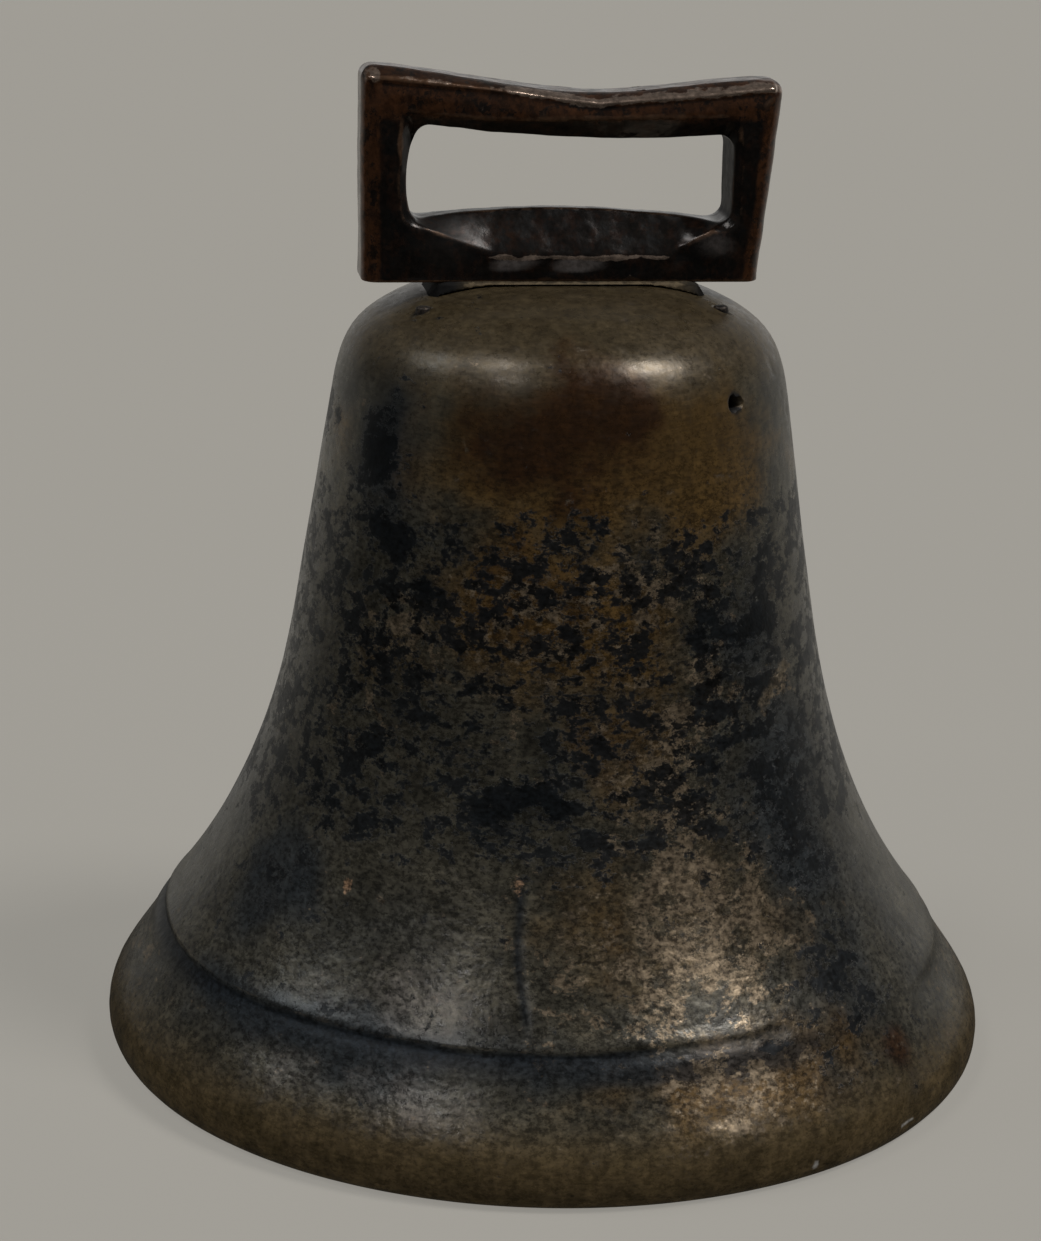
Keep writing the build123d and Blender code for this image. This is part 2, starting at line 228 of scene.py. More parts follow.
def remeshed(obj, voxel):
    """Gives an object an even skin of small faces."""
    again = obj.modifiers.new("even", "REMESH")
    again.mode = "VOXEL"
    again.voxel_size = voxel
    return applied(obj)


def relaxed(obj, points, rounds):
    """Points moved towards the mean of their neighbours, a number of times."""
    pairs = np.zeros(len(obj.data.edges) * 2, np.int32)
    obj.data.edges.foreach_get("vertices", pairs)
    pairs = pairs.reshape(-1, 2)
    count = np.bincount(pairs.ravel(), minlength=len(points))[:, None]
    moved = points.copy()
    for _ in range(rounds):
        total = np.zeros_like(moved)
        for axis in range(3):
            total[:, axis] += np.bincount(pairs[:, 0], moved[pairs[:, 1], axis], len(moved))
            total[:, axis] += np.bincount(pairs[:, 1], moved[pairs[:, 0], axis], len(moved))
        moved = 0.5 * moved + 0.5 * total / count
    return moved


def paint_wear(obj, reach):
    """Paints how proud each vertex stands of its neighbourhood, as wear, and how sunken, as grime."""
    points = points_of(obj)
    height = ((points - relaxed(obj, points, WEAR_ROUNDS)) * normals_of(obj)).sum(1)
    paint(obj, "wear", height / reach)
    paint(obj, "grime", -height / reach)


def cut_with(obj, cutter):
    """Cuts one closed mesh out of another and deletes it."""
    cut = obj.modifiers.new("cut", "BOOLEAN")
    cut.operation = "DIFFERENCE"
    cut.solver = "EXACT"
    cut.object = cutter
    applied(obj)
    bpy.data.objects.remove(cutter)
    return obj


# ---- Bell skin ----


def ray_section(tree, eye_z, rays, from_outside):
    """Radius and height where rays through a point on the axis meet the CAD bell, averaged round it."""
    eye = Vector((0, 0, eye_z))
    found = []
    for angle in np.radians(np.linspace(*rays)):
        hits = []
        for azimuth in CLEAR_AZIMUTHS:
            around = math.radians(azimuth)
            level = math.cos(angle)
            way = Vector((math.sin(around) * level, -math.cos(around) * level, math.sin(angle)))
            start = eye + way * RAY_LENGTH if from_outside else eye
            hit = tree.ray_cast(start, -way if from_outside else way)[0]
            hits.append((math.hypot(hit.x, hit.y), hit.z))
        found.append(np.mean(hits, axis=0))
    return np.array(found)


def evened(section, spacing):
    """A section resampled at an even spacing along its length."""
    along = np.r_[0, np.cumsum(np.hypot(*np.diff(section, axis=0).T))]
    marks = np.linspace(0, along[-1], int(along[-1] / spacing) + 1)
    return np.c_[np.interp(marks, along, section[:, 0]), np.interp(marks, along, section[:, 1])]


def worn(section, width, spacing):
    """A section with its corners rounded by a moving average that keeps its ends."""
    reach = int(3 * width / spacing)
    weights = np.exp(-0.5 * (np.arange(-reach, reach + 1) * spacing / width) ** 2)
    weights /= weights.sum()
    padded = np.pad(section, ((reach, reach), (0, 0)), mode="edge")
    averaged = np.stack([np.convolve(padded[:, k], weights, "valid") for k in (0, 1)], 1)
    keep = smooth(np.arange(len(section)), 0, reach) * smooth(np.arange(len(section))[::-1], 0, reach)
    return section + (averaged - section) * keep[:, None]


def whole_section():
    """The CAD bell's section without its groove: from the bore's top, round the lip, to the bore's bottom."""
    mesh = NODES["bell_body"].data
    tree = BVHTree.FromPolygons([v.co for v in mesh.vertices], [p.vertices for p in mesh.polygons])
    outside = ray_section(tree, OUTSIDE_EYE_Z, OUTSIDE_RAYS, True)
    inside = ray_section(tree, INSIDE_EYE_Z, INSIDE_RAYS, False)
    plain = (outside[:, 1] > CAD_GROOVE_TOP_Z) | (outside[:, 1] < CAD_GROOVE_BOTTOM_Z)
    return worn(evened(np.r_[outside[plain], inside], SECTION_STEP), CORNER_WEAR, SECTION_STEP)


def bell_section():
    """The section's rings: radius, height, normal outwards and upwards, and whether on the outside."""
    section = whole_section()
    step = np.gradient(section, axis=0)
    length = np.hypot(step[:, 0], step[:, 1])
    z = section[:, 1]
    lip = np.argmin(np.where(section[:, 0] < LIP_LOWEST_RADIUS, np.inf, z))
    count = np.arange(len(section))
    outer = count < lip
    spacing = np.where(outer, RING_SPACING_OUTSIDE, RING_SPACING_INSIDE)
    for low, high, fine, outside_only in FINE_RINGS:
        within = (z > low) & (z < high) & (outer | (not outside_only))
        spacing = np.where(within, fine, spacing)
    rings = np.r_[0, np.cumsum(length / spacing)][:-1]
    chosen = np.r_[np.interp(np.arange(0, rings[-1]), rings, count), len(section) - 1]
    columns = (section[:, 0], z, -step[:, 1] / length, step[:, 0] / length, outer.astype(float))
    return [np.interp(chosen, count, column) for column in columns]


def crowded_azimuths():
    """Azimuths of the bell's columns, closer together at the front."""
    turn = np.arange(BELL_COLUMNS) / BELL_COLUMNS
    angles = 2 * np.pi * turn - FRONT_CROWDING * np.sin(2 * np.pi * turn)
    return np.degrees(np.where(angles > np.pi, angles - 2 * np.pi, angles))


def arc_length(azimuth, centre, radius):
    """Distance round the bell from a centre azimuth, in metres."""
    off = (azimuth - centre + 180) % 360 - 180
    return np.radians(off) * radius


def groove_height(azimuth):
    """Height of the groove's sharp upper edge round the bell. It wanders, and its right end curls upwards."""
    wander = 0.3 * np.sin(np.radians(azimuth * 3 + 40)) + 0.2 * np.sin(np.radians(azimuth * 7))
    curl = GROOVE_CURL * smooth(azimuth, 21, 28) * (azimuth < 60)
    return (GROOVE_EDGE_Z + wander + curl) * MM


def groove_strength(azimuth):
    """How deep the groove is cut round the bell. It is worn away at the right of the front."""
    gone = smooth(azimuth, 24, 30) * smooth(azimuth, 120, 70)
    weak = 0.66 * smooth(azimuth, 0, 14) * (azimuth < 60)
    return 1 - 0.98 * gone - weak * (1 - gone)


def gouge_distance(azimuth, z, radius):
    """Distance across the upright gouge at the front, and how strong it is at each height."""
    bend = smooth(z, 44 * MM, 29 * MM)
    across = arc_length(azimuth, GOUGE_AZIMUTH + GOUGE_BEND * bend, radius)
    strength = smooth(z, 28 * MM, 33 * MM) * smooth(z, 55.5 * MM, 52.5 * MM)
    return across, strength


DENTS = [  # azimuth, height, half width round, half height, depth, all but the first in millimetres
    (13.7, 15.2, 3.2, 0.7, 0.55),
    (13.0, 13.6, 3.6, 0.8, -0.16),
    (27.2, 3.7, 1.2, 1.0, 0.35),
    (43.8, 4.5, 2.2, 0.8, 0.35),
    (23.3, 25.3, 1.5, 0.9, 0.16),
    (-13.6, 54.2, 1.2, 1.3, 0.30),
    (-44.5, 49.4, 1.0, 0.9, 0.25),
    (62.0, 144.0, 1.1, 0.8, 0.28),
    (66.0, 139.0, 1.0, 0.8, 0.22),
    (70.0, 134.5, 1.2, 0.9, 0.25),
    (74.0, 129.0, 1.3, 1.0, 0.25),
    (68.0, 123.0, 0.9, 0.8, 0.20),
    (39.0, 148.6, 1.0, 0.7, 0.22),
    (28.0, 151.6, 0.9, 0.6, 0.20),
    (-67.0, 96.0, 1.3, 1.0, 0.22),
    (140.0, 60.0, 2.4, 1.4, 0.35),
    (-128.0, 84.0, 1.8, 2.2, 0.30),
    (168.0, 118.0, 1.4, 1.2, 0.25),
    (-150.0, 20.0, 3.0, 1.0, 0.40),
    (105.0, 6.0, 2.6, 1.2, 0.40),
]


def cast_relief(points, z, radius):
    """The long waves and grain of casting and turning, and the crown faced a little lower."""
    height = 0.20 * MM * rough(points, 48 * MM, 2) + 0.045 * MM * rough(points, 11 * MM, 2, 1)
    height += 0.016 * MM * rough(points, 3.2 * MM, 2, 2) * smooth(z, 120 * MM, 145 * MM)
    step = CROWN_STEP_RADIUS + 0.7 * MM * rough(points, 16 * MM, 2, 3)
    faced = smooth(radius, step + 0.7 * MM, step - 0.5 * MM) * (z > 150 * MM)
    return height - CROWN_STEP_DEPTH * faced


def groove_relief(azimuth, z):
    """The turned groove, sharp at its upper edge and running out below."""
    below = groove_height(azimuth) - z
    cut = smooth(below, -0.5 * MM, 0.3 * MM) * smooth(below, 4.6 * MM, 0.5 * MM)
    lifted = bump_at(below + 1.3 * MM, 0.9 * MM)
    return groove_strength(azimuth) * MM * (GROOVE_LIFTED_EDGE * lifted - GROOVE_DEPTH * cut)


def outside_relief(points, azimuth, z, radius):
    """How far the bell's outer surface stands proud of its section at each vertex."""
    height = cast_relief(points, z, radius) + groove_relief(azimuth, z)
    across, strength = gouge_distance(azimuth, z, radius)
    height -= GOUGE_DEPTH * strength * bump_at(across, 1.1 * MM)
    for middle, dent_z, half_width, half_height, depth in DENTS:
        around = arc_length(azimuth, middle, radius) / (half_width * MM)
        up = (z - dent_z * MM) / (half_height * MM)
        height -= depth * MM * bump_at(np.hypot(around, up), 1.0)
    return height


def inside_relief(points):
    """The sand-cast inside: low lumps with a coarse grain."""
    return 0.22 * MM * rough(points, 22 * MM, 2, 4) + 0.10 * MM * rough(points, 5 * MM, 3, 5)


def hole_cutter():
    """An uneven, kidney-shaped bar along a radius, to cut the open hole in the shoulder."""
    around = math.radians(HOLE_AZIMUTH)
    out = np.array((math.sin(around), -math.cos(around), 0))
    side = np.array((math.cos(around), math.sin(around), 0))
    up = np.array((0, 0, 1))
    steps = 48
    turn = np.arange(steps) * 2 * np.pi / steps
    lobes = 0.34 * np.cos(2 * turn) + 0.18 * np.cos(3 * turn + 0.4) - 0.30 * bump_at(turn - 1.2, 0.4)
    size = HOLE_RADIUS + lobes
    rim = (np.outer(size * np.cos(turn), side) + np.outer(size * np.sin(turn), up)) * MM
    near = rim * HOLE_WIDENING + out * WALL[0] + up * HOLE_Z
    far = rim + out * WALL[1] + up * HOLE_Z
    faces = [(k, (k + 1) % steps, (k + 1) % steps + steps, k + steps) for k in range(steps)]
    faces += [tuple(range(steps))[::-1], tuple(range(steps, 2 * steps))]
    return mesh_object("open_hole", np.r_[near, far], faces)


def grid_faces(rings, columns):
    """The faces of a grid that closes on itself both ways."""
    ring, column = np.divmod(np.arange(rings * columns), columns)
    next_ring = (ring + 1) % rings
    next_column = (column + 1) % columns
    corners = [(ring, column), (next_ring, column), (next_ring, next_column), (ring, next_column)]
    return np.stack([along * columns + across for along, across in corners], 1).tolist()


def build_bell():
    """The bell's skin: the CAD section turned on a fine grid, with the marks of casting, turning and age."""
    rings = bell_section()
    radius, z, normal_r, normal_z, on_outside = (np.repeat(ring, BELL_COLUMNS) for ring in rings)
    azimuth = np.tile(crowded_azimuths(), len(rings[0]))
    out_x = np.sin(np.radians(azimuth))
    out_y = -np.cos(np.radians(azimuth))
    points = np.c_[radius * out_x, radius * out_y, z]
    normals = np.c_[normal_r * out_x, normal_r * out_y, normal_z]
    relief = outside_relief(points, azimuth, z, radius) * on_outside
    relief += inside_relief(points) * (1 - on_outside)
    relief *= smooth(radius, *BORE_EDGE) * smooth(z, 0.0, LIP_EDGE)
    points += normals * relief[:, None]
    bell = mesh_object("bell_skin", points, grid_faces(len(rings[0]), BELL_COLUMNS))
    cut_with(bell, hole_cutter())
    return cut_with(bell, closed_copy("core_chaplets", "pin_sockets"))


# ---- Bell paint ----

BELL_PATCHES = {  # azimuth, height and half sizes round (degrees) and up (millimetres), then strength
    "dark": [
        (-56, 128, 9, 15, 1.00), (-50, 114, 12, 9, 0.80), (-36, 105, 9, 5, 0.90), (-9, 106, 6, 4, 0.70),
        (-20, 92, 12, 7, 0.50), (-15, 67, 13, 8, 0.90), (-2, 63, 11, 7, 0.66), (-24, 82, 8, 7, 0.55),
        (26, 97, 12, 9, 0.76), (42, 100, 13, 14, 0.80), (40, 117, 12, 6, 0.55), (17, 107, 5, 3, 0.65),
        (25, 119, 6, 3, 0.60), (26, 83, 14, 5, 0.55), (43, 66, 12, 24, 0.66), (40, 34, 12, 16, 0.62),
        (24, 25.6, 4.0, 1.8, 0.75), (30, 28, 6, 1.8, 0.65), (-50, 90, 18, 10, 0.55), (-45, 103, 20, 5, 0.55),
        (-52, 50, 18, 9, 0.35), (-62, 46, 10, 9, 0.50), (4, 78, 9, 4, 0.60), (-30, 30, 34, 3, 0.35),
        (110, 95, 18, 20, 0.80), (150, 60, 22, 16, 0.80), (-150, 100, 25, 16, 0.80),
        (95, 125, 14, 10, 0.70), (-110, 60, 18, 22, 0.80), (-95, 130, 14, 10, 0.70), (175, 125, 20, 9, 0.60),
        (-170, 35, 20, 9, 0.60),
    ],
    "tan": [
        (-12, 98, 22, 14, 0.60), (14, 109, 13, 8, 0.75), (18, 80, 10, 9, 0.90), (15, 62, 13, 20, 0.75),
        (18, 44, 14, 14, 0.85), (19, 19, 15, 7, 0.60), (45, 86, 6, 4, 0.80), (26, 88, 8, 6, 0.85),
        (-6, 40, 10, 12, 0.45), (-40, 97, 14, 7, 0.55), (-52, 80, 14, 8, 0.35), (130, 40, 25, 12, 0.60),
        (-140, 45, 30, 10, 0.60), (100, 20, 30, 6, 0.60), (-100, 20, 30, 6, 0.40), (160, 95, 18, 14, 0.60),
        (-120, 105, 16, 12, 0.60),
    ],
    "gold": [
        (-4, 132, 36, 14, 1.00), (30, 130, 24, 15, 0.90), (-6, 104, 26, 18, 0.90), (8, 80, 16, 14, 0.60),
        (0, 50, 12, 14, 0.45), (22, 45, 20, 20, 0.40), (-45, 92, 14, 8, 0.40), (120, 130, 40, 14, 0.80),
        (-130, 128, 40, 14, 0.80), (20, 19, 18, 8, 1.00),
    ],
    "red": [
        (-10, 136, 22, 11, 1.00), (-14, 108, 14, 12, 0.60), (1, 78, 10, 9, 0.45), (45.5, 18, 3.4, 3.6, 1.00),
        (3, 42, 6, 8, 0.35), (70, 130, 16, 12, 0.40), (160, 134, 30, 12, 0.80),
    ],
    "blue": [
        (-60, 46, 10, 10, 1.00), (-40, 25, 36, 6, 1.00), (-55, 128, 11, 14, 1.00), (-46, 60, 24, 16, 0.30),
        (38, 97, 14, 16, 0.70), (43, 62, 13, 34, 0.85), (40, 30, 12, 14, 0.60), (10, 24, 24, 3, 1.00),
        (60, 60, 14, 40, 0.50), (-100, 55, 24, 20, 0.80), (140, 70, 26, 20, 0.60), (-40, 42, 26, 10, 0.45),
    ],
    # grey: rubbed grey metal; the four patches at the front left also carry painted highlight on the flare
    # and the bow
    "grey_metal_and_highlight": [
        (-28, 33, 11, 5, 0.70), (-26, 18, 8, 5, 0.80), (-44, 18, 7, 4, 0.70), (-42, 32, 10, 4, 0.50),
        (150, 25, 20, 8, 0.60), (-160, 20, 20, 8, 0.60),
    ],
    "pale": [(26.6, 3.6, 0.65, 0.9, 1.60), (43.6, 4.4, 1.3, 0.6, 1.60), (42.0, 4.0, 0.5, 0.5, 1.50)],
    "copper": [(-44.5, 49.4, 0.75, 0.95, 1.60), (-13.7, 54.2, 1.5, 1.9, 0.60)],
}
PATCH_SWIRL = 0.55  # how far noise pushes a patch's outline, as a share of its size
PATCH_SWIRL_SIZE = 6  # patches less high than this are pushed less
PATCH_FADE = 1.15
FLAKY_ZONE = (46.0, 62.0, 118.0, 130.0)  # heights where the scattered flakes begin, are full, and end again
STREAK = (40.0, 83.0, 50.0, 88.5)  # a light tan stroke, from azimuth and height to azimuth and height
SCRATCH = (-32.3, 135.5, -30.6, 132.5)


class Places:
    """Where each of the bell skin's vertices lies."""

    def __init__(self, obj):
        self.points = points_of(obj)
        self.z = self.points[:, 2]
        self.radius = np.hypot(self.points[:, 0], self.points[:, 1])
        self.azimuth = np.degrees(np.arctan2(self.points[:, 0], -self.points[:, 1]))
        facing_out = (normals_of(obj)[:, :2] * self.points[:, :2]).sum(1) / np.maximum(self.radius, MM)
        self.outside = smooth(facing_out, -0.05, 0.05) + (self.z > 157 * MM)


def line_nearness(azimuth, z, line, width):
    """1 along a stroke on the bell's outside, fading to 0 beyond its width."""
    radius = 52.0  # of the waist, close enough wherever a stroke lies
    start = np.array((math.radians(line[0]) * radius, line[1]))
    end = np.array((math.radians(line[2]) * radius, line[3]))
    here = np.c_[np.radians(azimuth) * radius, z / MM]
    along = np.clip(((here - start) @ (end - start)) / ((end - start) @ (end - start)), 0, 1)
    away = np.linalg.norm(here - start - along[:, None] * (end - start), axis=1)
    return bump_at(away, width)


def patch_strength(at, patches, wander, wander_up):
    """How strongly a colour's patches cover each vertex, with their outlines pushed about by noise."""
    total = np.zeros(len(at.points))
    for middle, patch_z, half_width, half_height, strength in patches:
        swirl = PATCH_SWIRL * min(1.0, half_height / PATCH_SWIRL_SIZE)
        across = ((at.azimuth - middle + 180) % 360 - 180) / half_width + swirl * wander
        up = (at.z / MM - patch_z) / half_height + swirl * wander_up
        total = np.maximum(total, strength * bump_at(np.hypot(across, up), PATCH_FADE))
    return total


def scattered_flakes(z):
    """The even sprinkling of dark flakes over the waist, thinner down the flare."""
    low, full, full_top, high = FLAKY_ZONE
    waist = smooth(z / MM, low, full) * smooth(z / MM, high, full_top)
    return 0.42 * waist + 0.12 * smooth(z / MM, 26, 34) * (z < 120 * MM)


def distance_from_hole(at):
    """Distance from the open hole's middle, over the bell's skin."""
    return np.hypot(arc_length(at.azimuth, HOLE_AZIMUTH, at.radius), at.z - HOLE_Z)


def recess_dirt_and_shade_strength(at):
    """Where dirt is packed and shade is painted: in the groove and the gouge, and near black in the open
    hole.
    """
    below = groove_height(at.azimuth) - at.z
    groove = smooth(below, -0.1 * MM, 0.5 * MM) * smooth(below, 6.0 * MM, 0.8 * MM)
    across, strength = gouge_distance(at.azimuth, at.z, at.radius)
    cut = np.maximum(groove_strength(at.azimuth) * groove, 0.9 * strength * bump_at(across, 0.95 * MM))
    # painted shade: the open hole is darkened near black over its mouth and its inner walls
    hole = distance_from_hole(at)
    in_hole = (hole < 4 * MM) * (np.abs(at.azimuth - HOLE_AZIMUTH) < 20) * (at.radius > 38 * MM)
    return np.maximum(cut * at.outside, in_hole * smooth(hole, 2.4 * MM, 1.9 * MM))


def rubbed_edge_and_highlight_strength(at):
    """Where edges and strokes are rubbed down to lighter metal, with painted highlight just above the
    groove's sharp edge and on the gouge's raised right edge.
    """
    below = groove_height(at.azimuth) - at.z
    across, strength = gouge_distance(at.azimuth, at.z, at.radius)
    edges = [
        # painted highlight: a light line above the groove's sharp edge, and one on the gouge's raised right
        # edge
        0.45 * groove_strength(at.azimuth) * bump_at(below + 0.55 * MM, 0.5 * MM),
        0.42 * strength * bump_at(across - 1.6 * MM, 0.6 * MM),
        0.30 * bump_at(distance_from_hole(at) - 2.7 * MM, 0.45 * MM),
        0.75 * line_nearness(at.azimuth, at.z, STREAK, 1.7),
        0.60 * line_nearness(at.azimuth, at.z, SCRATCH, 0.5),
    ]
    return np.maximum.reduce(edges) * at.outside


def paint_bell(obj):
    """Paints where each colour of patina lies, for the material to break up into flakes and specks."""
    at = Places(obj)
    wander = rough(at.points, 15 * MM, 3, 6)
    wander_up = rough(at.points, 15 * MM, 3, 7)
    for name, patches in BELL_PATCHES.items():
        total = patch_strength(at, patches, wander, wander_up)
        if name == "dark":
            total = np.maximum(total, scattered_flakes(at.z))
        paint(obj, name, total * at.outside)
    # dirt and painted shade in the groove and gouge, painted shade in the open hole
    paint(obj, "recess_dirt_and_shade", recess_dirt_and_shade_strength(at))
    # rubbed edges, with painted highlight along the groove and the gouge
    paint(obj, "edge", rubbed_edge_and_highlight_strength(at))
    paint(obj, "lip", smooth(at.z, 19 * MM, 9 * MM) * at.outside)
    paint(obj, "crown", smooth(at.z, 140 * MM, 149 * MM) * at.outside)
    paint(obj, "inside", 1 - at.outside)
    paint(obj, "polish", smooth(at.z, 116 * MM, 142 * MM) * at.outside)


# ---- Materials ----


class Nodes:
    """A tree of nodes. Each method adds a node and gives back its output, to use in the next."""

    def __init__(self, tree, place):
        self.tree = tree
        self.place = self.add("ShaderNodeTexCoord").outputs[place]

    def add(self, kind, inputs=(), **settings):
        node = self.tree.nodes.new(kind)
        for key, value in settings.items():
            setattr(node, key, value)
        for socket, value in dict(inputs).items():
            self.feed(node.inputs[socket], value)
        return node

    def feed(self, socket, value):
        if isinstance(value, bpy.types.NodeSocket):
            self.tree.links.new(value, socket)
        else:
            socket.default_value = value

    def rise(self, value, low, high, start=0.0, end=1.0):
        """start where a value is below low, end where it is above high, and a smooth rise between."""
        ends = {"Value": value, "From Min": low, "From Max": high, "To Min": start, "To Max": end}
        return self.add("ShaderNodeMapRange", ends, interpolation_type="SMOOTHSTEP").outputs[0]

    def towards(self, direction, low, high, start, end):
        """A rise from start to end as places lie further along a direction."""
        product = self.add("ShaderNodeVectorMath", {0: self.place, 1: direction}, operation="DOT_PRODUCT")
        return self.rise(product.outputs["Value"], low, high, start, end)

    def choose(self, kind_of_ray, otherwise, chosen):
        """One shader for a kind of ray, and another for the rest."""
        ray = self.add("ShaderNodeLightPath").outputs[kind_of_ray]
        return self.add("ShaderNodeMixShader", {0: ray, 1: otherwise, 2: chosen}).outputs[0]


class Finish(Nodes):
    """A material, whose patterns lie in the part's own frame."""

    def __init__(self, name):
        self.material = bpy.data.materials.new(name)
        self.material.use_nodes = True
        super().__init__(self.material.node_tree, "Object")
        self.surface = self.tree.nodes["Principled BSDF"]
        self.relief = None

    def squashed(self, factor):
        """Places where a pattern comes out squashed upright by a factor."""
        return self.add("ShaderNodeMapping", {"Vector": self.place, "Scale": (1, 1, factor)}).outputs[0]

    def noise(self, size, detail=4.0, roughness=0.55, at=None, shift=0.0):
        """Noise from 0 to 1 with features about size across. Each shift gives another pattern."""
        settings = {"Vector": at or self.place, "Scale": 1 / size, "Detail": detail, "Roughness": roughness}
        settings["W"] = shift
        return self.add("ShaderNodeTexNoise", settings, noise_dimensions="4D").outputs[0]

    def cells(self, size):
        """Distance from the nearest of many scattered points."""
        settings = {"Vector": self.place, "Scale": 1 / size}
        return self.add("ShaderNodeTexVoronoi", settings).outputs["Distance"]

    def painted(self, name):
        return self.add("ShaderNodeAttribute", attribute_name=name).outputs["Fac"]

    def math(self, operation, a, b=0.0, c=0.0):
        return self.add("ShaderNodeMath", {0: a, 1: b, 2: c}, operation=operation).outputs[0]

    def plus(self, a, b):
        return self.math("ADD", a, b)

    def times(self, a, b):
        return self.math("MULTIPLY", a, b)

    def weigh(self, a, factor, offset):
        """a * factor + offset"""
        return self.math("MULTIPLY_ADD", a, factor, offset)

    def broken(self, name, pattern, amount):
        """A painted number with a pattern's ups and downs added."""
        return self.plus(self.painted(name), self.weigh(pattern, amount, -amount / 2))

    def blend(self, factor, a, b):
        """Colour a where the factor is 0 and colour b where it is 1."""
        pair = {0: factor, 6: self.colour(a), 7: self.colour(b)}
        return self.add("ShaderNodeMix", pair, data_type="RGBA").outputs[2]

    def shade(self, colour, factor):
        """A colour made lighter or darker by a number."""
        grey_metal_and_highlight = self.add("ShaderNodeCombineColor", {0: factor, 1: factor, 2: factor}).outputs[0]
        pair = {0: 1.0, 6: self.colour(colour), 7: grey_metal_and_highlight}
        return self.add("ShaderNodeMix", pair, data_type="RGBA", blend_type="MULTIPLY").outputs[2]

    def colour(self, value):
        """A plain colour with its alpha, or a node's colour as it is."""
        return (*value, 1.0) if isinstance(value, tuple) else value

    def raise_by(self, height, distance):
        """Adds bumps of a height from 0 to 1 times a distance in metres."""
        inputs = {"Strength": 1.0, "Distance": distance, "Height": height}
        if self.relief:
            inputs["Normal"] = self.relief
        self.relief = self.add("ShaderNodeBump", inputs).outputs[0]

    def done(self, colour, roughness, metallic, specular=0.5):
        self.feed(self.surface.inputs["Base Color"], self.colour(colour))
        self.feed(self.surface.inputs["Roughness"], roughness)
        self.feed(self.surface.inputs["Metallic"], metallic)
        self.feed(self.surface.inputs["Specular IOR Level"], specular)
        if self.relief:
            self.feed(self.surface.inputs["Normal"], self.relief)
        return self.material


BELL_COLOURS = {
    "olive, deep": (0.026, 0.024, 0.017),
    "olive": (0.074, 0.067, 0.048),
    "crown": (0.070, 0.050, 0.024),
    "lip, deep": (0.068, 0.049, 0.022),
    "lip": (0.112, 0.080, 0.039),
    "packed dirt and shade": (0.009, 0.012, 0.016),
    "scuffed edge and highlight": (0.170, 0.140, 0.100),
    "pale chip": (0.420, 0.410, 0.390),
    "bare copper": (0.260, 0.160, 0.095),
    "inside": (0.026, 0.021, 0.014),
}
STAINS = {  # paint and its weight, the noise that breaks it up, where it starts and is full, opacity, colour
    "gold": ("gold", 0.60, "patchy", 0.58, 0.95, 1.00, (0.082, 0.048, 0.014)),
    "red": ("red", 0.60, "patchy", 0.62, 0.98, 1.00, (0.031, 0.012, 0.002)),
    "blue": ("blue", 0.60, "patchy", 0.60, 1.00, 0.70, (0.012, 0.019, 0.027)),
    "dark haze": ("dark", 0.42, "patchy", 0.68, 0.90, 0.70, (0.004, 0.006, 0.008)),
    "tan": ("tan", 0.23, "island", 0.62, 0.65, 0.90, (0.180, 0.140, 0.094)),
    # grey: rubbed grey metal with painted highlight
    "grey_metal_and_highlight": ("grey_metal_and_highlight", 0.30, "island", 0.55, 0.80, 0.50, (0.110, 0.100, 0.092)),
    "dark flakes": ("dark", 0.26, "stain", 0.635, 0.660, 0.94, (0.0028, 0.0045, 0.0062)),
}


def bell_noises(make):
    """The noises that break up the bell's patina, from broad clouds to fine grain."""
    squat = make.squashed(1.4)
    broad = make.noise(13 * MM, 5.0, 0.6)
    stain = make.noise(5.5 * MM, 10.0, 0.76, squat, 3.0)
    return {
        "patchy": make.plus(make.times(broad, 0.5), make.times(stain, 0.5)),
        "stain": stain,
        "island": make.noise(4.2 * MM, 10.0, 0.76, squat, 8.0),
        "fine": make.noise(1.2 * MM, 4.0, 0.7, squat, 5.0),
        "peel": make.noise(1.3 * MM, 2.0, 0.55, shift=2.0),
        "dents": make.noise(5.0 * MM, 2.0, 0.5, squat, 6.0),
        "fibre": make.noise(3.5 * MM, 5.0, 0.7, make.squashed(5.0), 7.0),
        "streak": make.noise(3.0 * MM, 4.0, 0.65, make.squashed(0.22), 9.0),
    }


def stained(make, colour, masks, names):
    """A colour with some of the stains laid over it, in their order."""
    for name in names:
        opacity, stain_colour = STAINS[name][-2:]
        colour = make.blend(make.times(masks[name], opacity), colour, stain_colour)
    return colour


def bell_metal_colour(make, noises, masks):
    """The patina from the thin brown ground up to the flakes of stain, with painted highlight in the grey
    patches.
    """
    c = BELL_COLOURS
    colour = make.blend(make.rise(noises["patchy"], 0.40, 0.60), c["olive, deep"], c["olive"])
    colour = stained(make, colour, masks, ["gold"])
    colour = make.blend(make.times(make.painted("crown"), 0.8), colour, c["crown"])
    lip = make.blend(make.rise(noises["stain"], 0.38, 0.62), c["lip, deep"], c["lip"])
    colour = make.blend(make.painted("lip"), colour, lip)
    return stained(make, colour, masks, ["red", "blue", "dark haze", "tan", "grey_metal_and_highlight", "dark flakes"])


def bell_marks_colour(make, noises, scuffed_and_highlight, colour):
    """Dirt and painted shade in the recesses, rubbed edges with painted highlights, and a few bare chips over
    the patina.
    """
    c = BELL_COLOURS
    # packed dirt with painted shade in the groove and gouge, and painted shade in the open hole
    colour = make.blend(make.times(make.painted("recess_dirt_and_shade"), 0.9), colour, c["packed dirt and shade"])
    # rubbed edges, with painted highlight along the groove and the gouge
    colour = make.blend(make.times(scuffed_and_highlight, 0.8), colour, c["scuffed edge and highlight"])
    colour = make.blend(make.rise(make.painted("pale"), 0.6, 1.0), colour, c["pale chip"])
    speck = make.rise(make.broken("copper", noises["fine"], 1.2), 0.35, 0.75)
    return make.blend(speck, colour, c["bare copper"])


